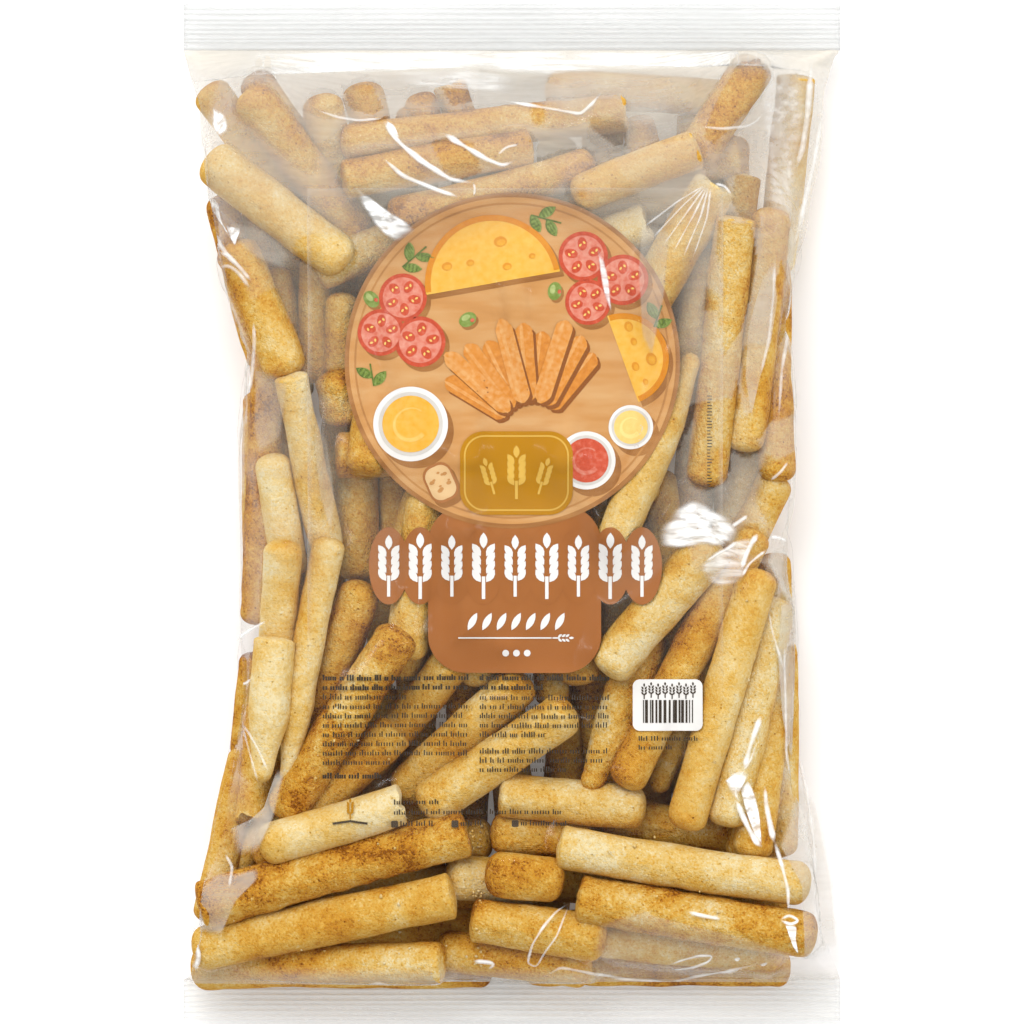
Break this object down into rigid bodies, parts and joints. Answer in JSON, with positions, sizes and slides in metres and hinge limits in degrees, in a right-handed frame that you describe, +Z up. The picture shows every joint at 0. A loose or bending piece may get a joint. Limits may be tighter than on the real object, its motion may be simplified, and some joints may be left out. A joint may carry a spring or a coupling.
{
  "type": "bag of mini breadsticks",
  "caption": "Clear sealed pillow bag filled with short breadsticks, printed on the front, with a crimped seal at each end, lying on its back.",
  "frame": {"origin": "on the surface the bag lies on, under the middle of the bag", "axes": "+X across the bag to the right of its front, +Y along the bag to its top seal, +Z up out of the shown front"},
  "size_m": [0.21, 0.3254, 0.052],
  "materials": {
    "filled_bag": "clear glossy film drawn over golden breadsticks",
    "clear_film": "clear glossy polypropylene film with soft creases",
    "seal_film": "doubled film, crimped and slightly milky",
    "breadstick": "dry baked crust, cream to golden brown, with bran specks",
    "print_brown": "flexographic ink, terracotta brown",
    "print_gold": "flexographic ink, dark gold",
    "print_tan": "flexographic ink, light tan like a wooden board",
    "print_yellow": "flexographic ink, cheese yellow",
    "print_red": "flexographic ink, tomato red",
    "print_green": "flexographic ink, olive green",
    "print_white": "flexographic ink, opaque white",
    "print_dark": "flexographic ink, dark brown-grey"
  },
  "bodies": {
    "root": {"bag": "filled_bag"}
  },
  "joints": []
}
